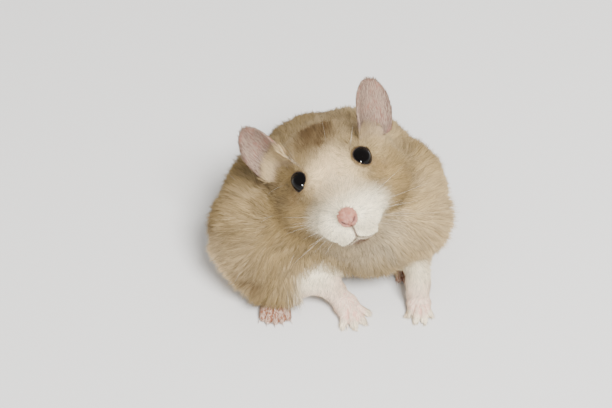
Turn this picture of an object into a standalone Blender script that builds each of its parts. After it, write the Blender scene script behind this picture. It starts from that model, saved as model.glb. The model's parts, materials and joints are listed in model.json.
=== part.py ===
"""A hairy-footed dwarf hamster, life size, sitting up on its forelegs and looking up.

The body is modelled whole, as lumps of flesh and fluff that are fused and smoothed, and then
parted into its head, ears, neck, trunk, limbs and tail by thin cuts. The surface is the outline
of the coat. Lengths are in millimetres and become metres where the meshes are made.
+Z is up, the chest faces -Y and the animal's left side is +X.
"""

import functools
import math

import bmesh
import bpy
from mathutils import Matrix, Vector
from mathutils.bvhtree import BVHTree

MM = 0.001
CUT = 0.36  # width of each parting cut
UP = Vector((0.0, 0.0, 1.0))

# The body: each lump of the trunk has a centre and three radii.
TRUNK = {
    "belly": ((1.2, -2.0, 15.6), (22.4, 18.5, 15.4)),
    "back": ((4.8, -0.5, 19.2), (17.0, 19.2, 14.6)),
    "rump": ((0.3, 5.5, 13.6), (19.8, 17.5, 14.3)),
    "chest": ((8.5, -12.0, 15.4), (13.4, 10.0, 11.2)),
    "shoulder_right": ((-8.0, -11.5, 16.5), (12.4, 9.8, 11.8)),
    "shoulder_left": ((17.0, -9.5, 17.0), (10.4, 10.8, 10.6)),
    "flank_left": ((14.4, -2.0, 18.0), (12.2, 13.2, 11.7)),
    "flank_right": ((-11.0, -2.0, 14.0), (14.8, 15.0, 13.6)),
    "haunch_right": ((-16.3, -9.5, 12.3), (12.4, 14.2, 12.8)),
    "haunch_left": ((16.0, 1.0, 12.8), (11.7, 13.2, 13.2)),
    "skirt_right": ((-12.0, -15.7, 8.0), (12.4, 9.8, 8.2)),
    "scruff": ((2.0, -5.5, 27.0), (15.6, 12.6, 12.0)),
    "throat": ((3.0, -15.0, 21.5), (11.0, 7.5, 9.0)),
}

# The head: its lumps are placed in its own frame, nose along -Y and crown along +Z, before it turns.
HEAD_CENTRE = Vector((0.8, -9.1, 31.2))
HEAD_TURN = Matrix.Rotation(math.radians(4.0), 3, "Z")  # towards the animal's left
HEAD_LIFT = Matrix.Rotation(math.radians(-23.5), 3, "X")  # nose up
HEAD_TILT = Matrix.Rotation(math.radians(-21.0), 3, "Y")  # crown over to the animal's right
HEAD_FRAME = HEAD_TURN @ HEAD_LIFT @ HEAD_TILT

SKULL = {
    "cranium": ((0.0, 1.0, 1.6), (11.8, 9.5, 7.6)),
    "snout": ((0.0, -8.6, -1.6), (6.4, 7.8, 5.6)),
    "nape": ((0.0, 8.0, -2.0), (11.0, 9.0, 8.6)),
}
SKULL_PAIRS = {
    "cheek": ((7.5, -0.8, -3.8), (8.0, 8.5, 7.6)),
    "jowl": ((4.0, -7.2, -4.2), (5.4, 6.2, 5.4)),
    "brow": ((5.5, -4.0, 3.6), (4.3, 4.6, 4.0)),
}
FACE = {
    "nose_bridge": ((0.0, -12.6, -1.4), (3.2, 4.4, 2.6)),
    "nose_tip": ((0.0, -15.0, -2.6), (2.4, 2.2, 2.3)),
    "chin": ((0.0, -11.0, -9.3), (4.9, 4.5, 3.6)),
}
FACE_PAIRS = {
    "whisker_pad": ((3.0, -12.0, -4.8), (4.1, 4.0, 4.0)),
}

EYE_CENTRE = Vector((6.8, -5.5, 4.3))
EYE_RADIUS = 2.3
EYE_CLEARANCE = 0.35
NOSE_PAD_CENTRE = Vector((0.0, -16.4, -2.5))
NOSE_PAD_RADIUS = 2.5

EAR_BASE = Vector((9.4, 1.4, 4.6))
EAR_TIPS = {"left": Vector((14.3, 3.2, 17.3)), "right": Vector((-14.9, 2.9, 17.4))}
EAR_FACINGS = {"left": Vector((0.62, -0.78, 0.0)), "right": Vector((-0.42, -0.91, 0.0))}
EAR_WIDTH = 10.2
EAR_THICKNESS = 1.2
EAR_ROOT = 0.2
EAR_CUP = 0.085  # how far each edge curls forward, per millimetre of width
EAR_GAP = 0.35

# The limbs: beads of flesh run along each chain of (point, radius).
FORELEG_LEFT = [((17.6, -13.0, 14.5), 5.4), ((19.3, -17.2, 10.0), 4.2), ((19.6, -19.8, 4.6), 3.1)]
FORELEG_RIGHT = [((-7.0, -14.0, 14.0), 6.2), ((-5.0, -18.0, 9.2), 5.2), ((0.3, -20.0, 4.6), 3.2)]
PAW_LEFT = {
    "palm": ((19.8, -21.8, 2.1), (3.1, 3.5, 2.2)),
    "tips": [(17.2, -24.4), (18.9, -26.3), (21.1, -26.4), (22.7, -24.6)],
}
PAW_RIGHT = {
    "palm": ((3.0, -22.6, 2.1), (3.3, 3.5, 2.2)),
    "tips": [(2.3, -27.8), (5.1, -28.0), (7.5, -26.7), (8.3, -24.0)],
}
FINGER_RADIUS = 0.95
FINGER_HEIGHT = 0.72
FOOT_RIGHT = {"sole": ((-12.9, -18.9, 1.9), (3.1, 5.6, 2.2)), "heading": 0.0}
FOOT_LEFT = {"sole": ((17.2, -7.5, 1.9), (3.1, 5.6, 2.2)), "heading": 12.0}
TOE_COUNT = 5
TOE_SPREAD = 6.8
TOE_REACH = 8.0
TAIL = [((-2.2, 17.5, 6.4), 4.0), ((-3.0, 21.5, 5.4), 3.3), ((-3.4, 23.6, 4.9), 2.7)]

# Where the cuts run: a bowl or ball of (centre, radii), or a disc of (centre, normal, radius).
HEAD_BOWL = (Vector((0.0, -7.0, 0.5)), Vector((17.4, 17.5, 14.0)))
NECK_BOWL = (Vector((0.0, -7.0, 0.5)), Vector((20.8, 20.8, 17.2)))
BOWL_MOUTH = -18.5  # the bowls are open in front of here, in the head's frame
THIGH_RIGHT = ((-22.5, -9.5, 10.5), (11.0, 12.0, 11.5))
THIGH_LEFT = ((24.0, 1.5, 9.5), (11.0, 12.0, 11.5))
FOOT_BALL = (4.9, 10.0, 4.2)
FOREARM_RIGHT = ((-3.2, -18.6, 7.2), (6.6, 6.8, 6.2))
WRIST_LEFT = ((19.6, -20.2, 3.7), (0.0, -0.7, -0.71), 4.6)
ELBOW_LEFT = ((19.4, -18.2, 8.0), (0.0, -0.42, -0.91), 5.8)
TAIL_CUT = ((-2.9, 21.9, 5.2), (-0.2, 0.95, -0.25), 5.2)

BODY_VOXEL = 0.8
FINE_VOXEL = 0.4
WHOLE_TRIANGLES = 3000

NODE_SEEDS = {
    "trunk": (0.0, 14.0, 12.0),
    "hindleg_right": (-24.0, -10.0, 10.5),
    "hindleg_left": (24.5, 1.0, 10.0),
    "hindfoot_right": (-12.8, -20.5, 1.5),
    "hindfoot_left": (17.0, -7.5, 1.5),
    "foreleg_left": (19.5, -19.0, 6.0),
    "foreleg_right": (-2.4, -19.8, 6.2),
    "forepaw_left": (19.8, -22.5, 2.0),
    "forepaw_right": (3.4, -23.0, 2.0),
    "tail": (-3.5, 24.4, 4.7),
}
HEAD_SEEDS = {
    "head": (0.0, -6.0, 7.0),
    "neck": (0.0, 12.1, 0.5),
    "nose": (0.0, -16.0, -2.6),
}

COLOURS = {
    "buff_fur": ((0.60, 0.49, 0.35), 0.9),
    "pale_fur": ((0.78, 0.72, 0.62), 0.9),
    "ear_skin": ((0.58, 0.46, 0.43), 0.7),
    "paw_fur": ((0.85, 0.76, 0.72), 0.8),
    "nose_skin": ((0.75, 0.44, 0.41), 0.5),
    "eye": ((0.012, 0.009, 0.008), 0.05),
}


def clear_scene():
    for thing in list(bpy.data.objects):
        bpy.data.objects.remove(thing)


def make_collection(name, shown):
    collection = bpy.data.collections.new(name)
    collection.hide_render = not shown
    bpy.context.scene.collection.children.link(collection)
    return collection


def make_material(name):
    colour, roughness = COLOURS[name]
    material = bpy.data.materials.new(name)
    material.use_nodes = True
    shader = material.node_tree.nodes["Principled BSDF"]
    shader.inputs["Base Color"].default_value = (*colour, 1.0)
    shader.inputs["Roughness"].default_value = roughness
    shader.inputs["Metallic"].default_value = 0.0
    material.diffuse_color = (*colour, 1.0)
    return material


def head_point(point):
    """A point of the head's own frame, in the body's frame."""
    return HEAD_CENTRE + HEAD_FRAME @ Vector(point)


def mirrored(point):
    return Vector((-point[0], point[1], point[2]))


@functools.cache
def unit_ball(segments, rings):
    """The points and faces of a ball of radius one."""
    mesh = bmesh.new()
    bmesh.ops.create_uvsphere(mesh, u_segments=segments, v_segments=rings, radius=1.0)
    mesh.verts.index_update()
    points = [vertex.co.copy() for vertex in mesh.verts]
    faces = [[vertex.index for vertex in face.verts] for face in mesh.faces]
    mesh.free()
    return points, faces


def add_points(pile, points, faces):
    """Adds a closed body to a pile, which is a pair of lists of points and faces."""
    first = len(pile[0])
    pile[0].extend(points)
    pile[1].extend([first + number for number in face] for face in faces)


def add_ball(pile, centre, radii, turn=Matrix.Identity(3), segments=32, rings=20):
    points, faces = unit_ball(segments, rings)
    stretch = turn @ Matrix.Diagonal(Vector(radii))
    add_points(pile, [Vector(centre) + stretch @ point for point in points], faces)


def add_chain(pile, chain, spacing=0.5):
    """Beads along a chain of (point, radius), close enough to fuse into one limb."""
    for (start, start_radius), (end, end_radius) in zip(chain, chain[1:]):
        start, end = Vector(start), Vector(end)
        count = max(2, math.ceil((end - start).length / spacing))
        for step in range(count + 1):
            share = step / count
            radius = start_radius + (end_radius - start_radius) * share
            add_ball(pile, start.lerp(end, share), (radius,) * 3, segments=14, rings=10)


def add_paw(pile, paw):
    """A palm with a finger to each tip."""
    centre, radii = paw["palm"]
    add_ball(pile, centre, radii)
    palm = Vector(centre)
    for x, y in paw["tips"]:
        tip = Vector((x, y, FINGER_HEIGHT))
        root = palm.lerp(tip, 0.3)
        knuckle = palm.lerp(tip, 0.65) + UP * 0.35
        add_chain(pile, [(root, 1.3), (knuckle, 1.1), (tip, FINGER_RADIUS * 0.9)], 0.4)


def add_foot(pile, foot):
    """A sole with five short toes fanned over its front."""
    centre, radii = foot["sole"]
    turn = Matrix.Rotation(math.radians(foot["heading"]), 3, "Z")
    add_ball(pile, centre, radii, turn)
    for toe in range(TOE_COUNT):
        side = toe / (TOE_COUNT - 1) - 0.5
        reach = TOE_REACH * (1.0 - 0.5 * side * side)
        tip = Vector(centre) + turn @ Vector((side * TOE_SPREAD, -reach, 0.0))
        root = Vector(centre) + turn @ Vector((side * TOE_SPREAD * 0.8, -reach * 0.5, 0.0))
        tip.z = FINGER_HEIGHT
        add_chain(pile, [(root, 1.2), (tip, FINGER_RADIUS * 0.85)], 0.4)


def ear_leaf(hand):
    """A rounded leaf with curled edges, from a ball that is flattened and then cupped."""
    side = 1 if hand == "left" else -1
    base = Vector((side * EAR_BASE.x, EAR_BASE.y, EAR_BASE.z))
    tip = EAR_TIPS[hand]
    rise = (tip - base).normalized()
    across = rise.cross(EAR_FACINGS[hand]).normalized()
    facing = across.cross(rise)
    half_length = (tip - base).length / 2
    points, faces = unit_ball(18, 12)
    leaf = []
    for x, y, z in points:
        width = EAR_WIDTH / 2 * x
        if z < 0.0:  # the sides run down straight, so that the root is as broad as the ear
            width *= max(1.0 - z * z, EAR_ROOT) ** -0.4
        depth = math.copysign(abs(y) ** 0.45, y) * EAR_THICKNESS / 2
        depth += EAR_CUP * width * width * (1.1 - 0.5 * z)
        length = half_length * z * (1.0 - 0.06 * x * x)
        leaf.append(head_point((base + tip) / 2 + across * width + facing * depth + rise * length))
    return leaf, faces


def link_object(name, data, collection):
    made = bpy.data.objects.new(name, data)
    collection.objects.link(made)
    return made


def object_of_pile(pile, name, collection):
    data = bpy.data.meshes.new(name)
    data.from_pydata([point * MM for point in pile[0]], [], pile[1])
    return link_object(name, data, collection)


def object_of_mesh(mesh, name, collection):
    bmesh.ops.recalc_face_normals(mesh, faces=mesh.faces)
    data = bpy.data.meshes.new(name)
    mesh.to_mesh(data)
    mesh.free()
    return link_object(name, data, collection)


def evaluated_copy(source, name, collection):
    """A plain mesh object of what the modifiers of another make, which it takes the place of."""
    graph = bpy.context.evaluated_depsgraph_get()
    data = bpy.data.meshes.new_from_object(source.evaluated_get(graph))
    bpy.data.objects.remove(source)
    return link_object(name, data, collection)


def fused(pile, name, collection, voxel, rounds):
    """Lumps melted into one skin: a voxel remesh, then a smooth."""
    lumps = object_of_pile(pile, name + "_lumps", collection)
    remesh = lumps.modifiers.new("Fuse", "REMESH")
    remesh.mode = "VOXEL"
    remesh.voxel_size = voxel * MM
    smooth = lumps.modifiers.new("Soften", "SMOOTH")
    smooth.factor = 0.5
    smooth.iterations = rounds
    return evaluated_copy(lumps, name, collection)


def add_lumps(pile, lumps, pairs):
    """Lumps of the head: single ones, and ones that are repeated on both sides."""
    for centre, radii in lumps.values():
        add_ball(pile, head_point(centre), radii, HEAD_FRAME)
    for centre, radii in pairs.values():
        for place in (Vector(centre), mirrored(centre)):
            add_ball(pile, head_point(place), radii, HEAD_FRAME)


def soft_body(collection):
    """Trunk and skull, with the wide smooth hollows between them."""
    pile = ([], [])
    for centre, radii in TRUNK.values():
        add_ball(pile, centre, radii)
    add_lumps(pile, SKULL, SKULL_PAIRS)
    return fused(pile, "soft_body", collection, BODY_VOXEL, 36)


def whole_body(collection):
    """The soft body with its face, ears, limbs and tail, as one faceted solid."""
    body = soft_body(collection)
    points = [vertex.co / MM for vertex in body.data.vertices]
    pile = (points, [list(face.vertices) for face in body.data.polygons])
    bpy.data.objects.remove(body)
    add_lumps(pile, FACE, FACE_PAIRS)
    for chain in (FORELEG_LEFT, FORELEG_RIGHT, TAIL):
        add_chain(pile, chain)
    for paw in (PAW_LEFT, PAW_RIGHT):
        add_paw(pile, paw)
    for foot in (FOOT_LEFT, FOOT_RIGHT):
        add_foot(pile, foot)
    whole = fused(pile, "whole", collection, FINE_VOXEL, 3)
    reduce = whole.modifiers.new("Facets", "DECIMATE")
    whole.data.calc_loop_triangles()
    reduce.ratio = WHOLE_TRIANGLES / len(whole.data.loop_triangles)
    return evaluated_copy(whole, "body", collection)


def shell_cutter(name, collection, centre, radii, turn=Matrix.Identity(3), mouth=None):
    """A thin closed shell, or a bowl that is open in front of the mouth."""
    mesh = bmesh.new()
    bmesh.ops.create_uvsphere(
        mesh, u_segments=16, v_segments=10, radius=MM, matrix=Matrix.Diagonal((*radii, 1.0))
    )
    if mouth is not None:
        front = (mouth - centre[1]) * MM
        bmesh.ops.bisect_plane(
            mesh,
            geom=mesh.verts[:] + mesh.edges[:] + mesh.faces[:],
            plane_co=(0, front, 0),
            plane_no=(0, -1, 0),
            clear_outer=True,
        )
    place = head_point(centre) if mouth is not None else Vector(centre)
    mesh.transform(Matrix.Translation(place * MM) @ turn.to_4x4())
    cutter = object_of_mesh(mesh, name, collection)
    wall = cutter.modifiers.new("Wall", "SOLIDIFY")
    wall.thickness = CUT * MM
    wall.offset = 0.0
    return cutter


def disc_cutter(name, collection, centre, normal, radius):
    mesh = bmesh.new()
    turn = UP.rotation_difference(Vector(normal)).to_matrix().to_4x4()
    place = Matrix.Translation(Vector(centre) * MM) @ turn
    bmesh.ops.create_cone(
        mesh,
        cap_ends=True,
        segments=12,
        radius1=radius * MM,
        radius2=radius * MM,
        depth=CUT * MM,
        matrix=place,
    )
    return object_of_mesh(mesh, name, collection)


def ball_cutter(name, collection, centre, radius):
    pile = ([], [])
    add_ball(pile, centre, (radius,) * 3, segments=12, rings=8)
    return object_of_pile(pile, name, collection)


def foot_ball(name, collection, foot):
    centre = Vector(foot["sole"][0])
    turn = Matrix.Rotation(math.radians(foot["heading"]), 3, "Z")
    middle = centre + turn @ Vector((0.0, -1.5, 0.0))
    return shell_cutter(name, collection, (middle.x, middle.y, 0.6), FOOT_BALL, turn)


def make_cutters(collection):
    """Everything that parts the body, the floor's own plane first."""
    mesh = bmesh.new()
    depth = 4.0
    block = Matrix.Translation((0, 0, -depth / 2 * MM)) @ Matrix.Diagonal((0.2, 0.2, depth * MM, 1))
    bmesh.ops.create_cube(mesh, size=1.0, matrix=block)
    cutters = [object_of_mesh(mesh, "cut_floor", collection)]
    for side, hand in ((1, "left"), (-1, "right")):
        eye = head_point((side * EYE_CENTRE.x, EYE_CENTRE.y, EYE_CENTRE.z))
        socket = EYE_RADIUS + EYE_CLEARANCE
        cutters.append(ball_cutter("cut_eye_" + hand, collection, eye, socket))
    for name, bowl in (("cut_head", HEAD_BOWL), ("cut_neck", NECK_BOWL)):
        cutters.append(shell_cutter(name, collection, *bowl, HEAD_FRAME, BOWL_MOUTH))
    nose = head_point(NOSE_PAD_CENTRE)
    cutters.append(shell_cutter("cut_nose", collection, nose, (NOSE_PAD_RADIUS,) * 3))
    cutters.append(foot_ball("cut_foot_right", collection, FOOT_RIGHT))
    cutters.append(foot_ball("cut_foot_left", collection, FOOT_LEFT))
    cutters.append(shell_cutter("cut_thigh_right", collection, *THIGH_RIGHT))
    cutters.append(shell_cutter("cut_thigh_left", collection, *THIGH_LEFT))
    cutters.append(shell_cutter("cut_forearm_right", collection, *FOREARM_RIGHT))
    discs = {
        "cut_wrist_left": WRIST_LEFT,
        "cut_elbow_left": ELBOW_LEFT,
        "cut_tail": TAIL_CUT,
    }
    for name, disc in discs.items():
        cutters.append(disc_cutter(name, collection, *disc))
    for cutter in cutters:
        cutter.hide_render = True
        cutter.display_type = "WIRE"


def islands_of(mesh):
    """The separate bodies of a mesh, each as a list of its faces."""
    left = set(mesh.faces)
    found = []
    while left:
        seed = left.pop()
        island, edge_of = [seed], [seed]
        while edge_of:
            face = edge_of.pop()
            for edge in face.edges:
                for other in edge.link_faces:
                    if other in left:
                        left.discard(other)
                        island.append(other)
                        edge_of.append(other)
        found.append(island)
    return found


def seeds():
    """A point in or beside each node, which says what an island is called."""
    points = {name: Vector(point) for name, point in NODE_SEEDS.items()}
    points.update({name: head_point(point) for name, point in HEAD_SEEDS.items()})
    return points


def part_body(body, cutters, collection):
    """Cuts the body, and names each piece that comes free after the nearest seed."""
    cut = body.modifiers.new("Parting", "BOOLEAN")
    cut.operation = "DIFFERENCE"
    cut.solver = "EXACT"
    cut.use_self = True
    cut.operand_type = "COLLECTION"
    cut.collection = cutters
    body = evaluated_copy(body, "parted", collection)
    mesh = bmesh.new()
    mesh.from_mesh(body.data)
    bpy.data.objects.remove(body)
    bmesh.ops.remove_doubles(mesh, verts=mesh.verts, dist=0.002 * MM)
    pieces = []
    for island in islands_of(mesh):
        index = {vertex: number for number, vertex in enumerate({v for f in island for v in f.verts})}
        data = bpy.data.meshes.new("piece")
        faces = [[index[v] for v in face.verts] for face in island]
        data.from_pydata([v.co.copy() for v in index], [], faces)
        data.update()
        pieces.append(data)
    mesh.free()
    nodes = {}
    for name, seed in seeds().items():
        nearest = min(pieces, key=lambda data: distance_to(data, seed * MM))
        pieces.remove(nearest)
        node = bpy.data.objects.new(name, nearest)
        nearest.name = name
        collection.objects.link(node)
        nodes[name] = node
    for crumb in pieces:
        print("crumb of", len(crumb.polygons), "faces at", crumb.vertices[0].co / MM)
        bpy.data.meshes.remove(crumb)
    return nodes


def distance_to(data, point):
    """How far a point is from the surface of a mesh; the mesh round a point is the nearest."""
    tree = BVHTree.FromPolygons([v.co for v in data.vertices], [p.vertices for p in data.polygons])
    return tree.find_nearest(point)[3]


def make_eyes(collection):
    eyes = {}
    for side, hand in ((1, "left"), (-1, "right")):
        pile = ([], [])
        centre = head_point((side * EYE_CENTRE.x, EYE_CENTRE.y, EYE_CENTRE.z))
        add_ball(pile, centre, (EYE_RADIUS,) * 3, HEAD_FRAME, segments=12, rings=8)
        eyes["eye_" + hand] = object_of_pile(pile, "eye_" + hand, collection)
    return eyes


def make_ears(body, helpers, collection):
    """Each ear, trimmed where it would enter the body or come too near it."""
    swollen = link_object("ear_trimmer", body.data.copy(), helpers)
    swell = swollen.modifiers.new("Gap", "DISPLACE")
    swell.strength = EAR_GAP * MM
    swell.mid_level = 0.0
    swollen.hide_render = True
    ears = {}
    for hand in EAR_TIPS:
        leaf = object_of_pile(ear_leaf(hand), "ear_leaf", helpers)
        trim = leaf.modifiers.new("Trim", "BOOLEAN")
        trim.operation = "DIFFERENCE"
        trim.solver = "EXACT"
        trim.object = swollen
        ears["ear_" + hand] = evaluated_copy(leaf, "ear_" + hand, collection)
    return ears


def finish_of(name):
    if name.startswith("eye"):
        return "eye"
    if name.startswith("ear"):
        return "ear_skin"
    if name == "nose":
        return "nose_skin"
    if "paw" in name or "foot" in name:
        return "paw_fur"
    if name.startswith("foreleg"):
        return "pale_fur"
    return "buff_fur"


def stand_on_origin(nodes):
    """Moves every node so that the middle of the whole's base is at the origin."""
    points = [v.co for node in nodes.values() for v in node.data.vertices]
    low = Vector(min(p[axis] for p in points) for axis in range(3))
    high = Vector(max(p[axis] for p in points) for axis in range(3))
    shift = Vector(((low.x + high.x) / 2, (low.y + high.y) / 2, low.z))
    for node in nodes.values():
        node.data.transform(Matrix.Translation(-shift))
    print("moved by", -shift / MM, "size", (high - low) / MM)


def main():
    clear_scene()
    model = make_collection("dwarf_hamster", True)
    helpers = make_collection("helpers", False)
    cutters = make_collection("cutters", False)
    body = whole_body(helpers)
    make_cutters(cutters)
    nodes = make_ears(body, helpers, model)
    nodes.update(part_body(body, cutters, model))
    nodes.update(make_eyes(model))
    stand_on_origin(nodes)
    materials = {name: make_material(name) for name in COLOURS}
    for name, node in nodes.items():
        node.data.materials.clear()
        node.data.materials.append(materials[finish_of(name)])
        node.data.shade_smooth()
        node.data.set_sharp_from_angle(angle=math.radians(50))
        print(name, len(node.data.polygons), "faces")


main()
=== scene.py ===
# A dwarf hamster, life size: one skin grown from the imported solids, eyes set under lids,
# and a coat of small locks combed over the skin.
import json
import math

import bmesh
import bpy
import numpy as np
from mathutils import Matrix, Vector
from mathutils.bvhtree import BVHTree

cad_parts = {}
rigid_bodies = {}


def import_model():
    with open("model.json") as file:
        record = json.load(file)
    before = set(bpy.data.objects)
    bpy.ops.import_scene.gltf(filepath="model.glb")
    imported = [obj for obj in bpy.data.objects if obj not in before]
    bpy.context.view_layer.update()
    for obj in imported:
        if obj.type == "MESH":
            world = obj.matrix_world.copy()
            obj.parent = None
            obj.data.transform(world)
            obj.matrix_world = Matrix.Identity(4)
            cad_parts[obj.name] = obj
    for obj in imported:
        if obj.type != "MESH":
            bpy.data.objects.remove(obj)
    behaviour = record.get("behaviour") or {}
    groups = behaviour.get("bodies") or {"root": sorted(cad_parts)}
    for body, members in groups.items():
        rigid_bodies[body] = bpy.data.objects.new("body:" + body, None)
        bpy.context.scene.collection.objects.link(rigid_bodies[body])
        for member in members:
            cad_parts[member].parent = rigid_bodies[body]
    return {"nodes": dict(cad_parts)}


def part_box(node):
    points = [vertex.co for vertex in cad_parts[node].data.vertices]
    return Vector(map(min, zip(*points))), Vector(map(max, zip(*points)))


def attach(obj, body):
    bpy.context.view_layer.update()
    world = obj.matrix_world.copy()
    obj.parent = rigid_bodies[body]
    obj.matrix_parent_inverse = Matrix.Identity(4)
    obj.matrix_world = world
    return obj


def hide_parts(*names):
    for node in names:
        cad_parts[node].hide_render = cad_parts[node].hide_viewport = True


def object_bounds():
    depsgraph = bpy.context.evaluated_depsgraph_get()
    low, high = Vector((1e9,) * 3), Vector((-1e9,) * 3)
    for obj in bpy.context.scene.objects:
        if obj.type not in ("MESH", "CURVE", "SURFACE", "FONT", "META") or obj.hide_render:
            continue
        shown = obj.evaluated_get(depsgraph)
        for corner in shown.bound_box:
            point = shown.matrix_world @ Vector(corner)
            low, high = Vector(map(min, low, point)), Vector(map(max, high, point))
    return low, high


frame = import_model()
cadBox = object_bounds()
mm = 0.001
nodes = frame["nodes"]
eyeNodes = ("eye_left", "eye_right")
fleshNodes = sorted(name for name in nodes if name not in eyeNodes)


def eyeCentre(name):
    low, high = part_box(name)
    return np.array((low + high) / 2) / mm


eyeCentres = {name: eyeCentre(name) for name in eyeNodes}

# The head's own frame: nose along -Y, crown along +Z, the animal's left along +X, in millimetres.
head = {"turn": 4.0, "lift": -23.5, "tilt": -21.0, "betweenEyes": (0.0, -5.5, 4.3)}
headTurn = (
    Matrix.Rotation(math.radians(head["turn"]), 3, "Z")
    @ Matrix.Rotation(math.radians(head["lift"]), 3, "X")
    @ Matrix.Rotation(math.radians(head["tilt"]), 3, "Y")
)
headAxes = np.array(headTurn)
headCentre = sum(eyeCentres.values()) / 2 - headAxes @ np.array(head["betweenEyes"])


def toHead(points):
    return (points - headCentre) @ headAxes


def fromHead(points):
    return np.asarray(points) @ headAxes.T + headCentre


def smoothStep(low, high, values):
    share = np.clip((values - low) / (high - low), 0.0, 1.0)
    return share * share * (3.0 - 2.0 * share)


# 1 inside an ellipsoid, falling to 0 across the given softness of its surface.
def blob(points, centre, radii, soft):
    reach = np.linalg.norm((points - np.array(centre)) / np.array(radii), axis=1)
    return 1.0 - smoothStep(1.0 - soft, 1.0 + soft, reach)


# 1 on a line, fading to 0 on both sides of it.
def ridge(distance, width):
    return np.exp(-((distance / width) ** 2))


# Points of the head with its right half folded onto its left.
def mirrored(local):
    return np.abs(local) * (1, 0, 0) + local * (0, 1, 1)


def unit(vectors):
    return vectors / np.maximum(np.linalg.norm(vectors, axis=1, keepdims=True), 1e-9)


# One value of every item of a mesh, as an array with a row for each item.
def readAll(items, value, width, kind=np.float32):
    flat = np.empty(len(items) * width, kind)
    items.foreach_get(value, flat)
    return flat.reshape(-1, width)


def meshPoints(mesh):
    return readAll(mesh.vertices, "co", 3).astype(float) / mm


def meshNormals(mesh):
    return readAll(mesh.vertex_normals, "vector", 3).astype(float)


def meshEdges(mesh):
    return readAll(mesh.edges, "vertices", 2, np.int32)


def setPoints(mesh, points):
    mesh.vertices.foreach_set("co", (points * mm).astype(np.float32).ravel())
    mesh.update()


# Evens out a value or a vector over the surface; amount may differ from point to point.
def evened(values, edges, rounds, amount=0.5):
    values = np.array(values, float)
    flat = values.reshape(len(values), -1)
    share = np.maximum(np.bincount(edges.ravel(), minlength=len(flat)), 1)
    for _ in range(rounds):
        for column in range(flat.shape[1]):
            line = flat[:, column]
            near = np.bincount(edges[:, 0], line[edges[:, 1]], len(line))
            near += np.bincount(edges[:, 1], line[edges[:, 0]], len(line))
            flat[:, column] = line + (near / share - line) * amount
    return flat.reshape(values.shape)


def linkObject(name, mesh):
    made = bpy.data.objects.new(name, mesh)
    bpy.context.scene.collection.objects.link(made)
    return made


def plainMesh(owner):
    graph = bpy.context.evaluated_depsgraph_get()
    return bpy.data.meshes.new_from_object(owner.evaluated_get(graph))


# Lengths in millimetres. Each "fine" radius is a round of splitting the faces near a place.
skinLook = {
    "voxel": 0.5,
    "swell": 0.27,  # closes the thin cuts between the solids
    "socketPlug": 2.75,
    "evening": 0.5,
    "pawEvening": 0.3,  # how much less the paws and the ears are evened, as they are thin
    "earEvening": 0.46,
    "coatDepth": {
        "trunk": 2.0, "neck": 1.6, "head": 0.85, "hindleg": 2.0, "foreleg": 0.7,
        "forepaw": 0.2, "hindfoot": 0.25, "tail": 1.1, "ear": 0.1, "nose": 0.05,
    },
    "depthRounds": 30,
    "muzzle": (0.0, -15.0, -5.0),
    "muzzleRadii": (9.0, 9.0, 9.0),
    "muzzleDepth": 0.35,
    "muzzleFine": (8.0, 6.6),
    "eyeDepth": 0.5,
    "eyeReach": (2.5, 6.0),
    "eyeFine": (4.6, 3.7),
    "earRoot": (10.4, 2.0, 6.2),
    "earRootRadii": (5.0, 4.5, 5.0),
    "earRootDepth": 0.45,
    "earInset": 0.06,
    "earRounds": 8,
    "pawFine": (4.6,),
}
regions = list(skinLook["coatDepth"])


def regionOf(nodeName):
    return regions.index(nodeName.split("_")[0])


# The flesh solids as one pile of triangles, as they are and swollen, with the region of each.
def fleshPile():
    points, swollen, faces, owners = [], [], [], []
    for name in fleshNodes:
        part = bmesh.new()
        part.from_mesh(nodes[name].data)
        bmesh.ops.remove_doubles(part, verts=part.verts, dist=1e-6)
        part.normal_update()
        part.verts.index_update()
        first = len(points)
        points.extend(v.co.copy() for v in part.verts)
        swollen.extend(v.co + v.normal * (skinLook["swell"] * mm) for v in part.verts)
        faces.extend([first + v.index for v in face.verts] for face in part.faces)
        owners.extend([regionOf(name)] * len(part.faces))
        part.free()
    return points, swollen, faces, np.array(owners)


def fusedSkin(swollen, faces):
    pile = bmesh.new()
    made = [pile.verts.new(point) for point in swollen]
    for face in faces:
        pile.faces.new([made[number] for number in face])
    for centre in eyeCentres.values():
        bmesh.ops.create_icosphere(
            pile, subdivisions=3, radius=skinLook["socketPlug"] * mm,
            matrix=Matrix.Translation(Vector(centre) * mm),
        )
    mesh = bpy.data.meshes.new("pile")
    pile.to_mesh(mesh)
    pile.free()
    owner = linkObject("pile", mesh)
    remesh = owner.modifiers.new("Fuse", "REMESH")
    remesh.mode = "VOXEL"
    remesh.voxel_size = skinLook["voxel"] * mm
    fused = plainMesh(owner)
    bpy.data.objects.remove(owner)
    return fused


# How much of each region a point of the skin belongs to, with soft borders.
def regionShares(mesh):
    points = meshPoints(mesh) * mm
    found = [pileOwners[fleshTree.find_nearest(Vector(point))[2]] for point in points]
    shares = np.eye(len(regions))[found]
    return evened(shares, meshEdges(mesh), 8)


def shareOf(shares, region):
    return shares[:, regions.index(region)]


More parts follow.
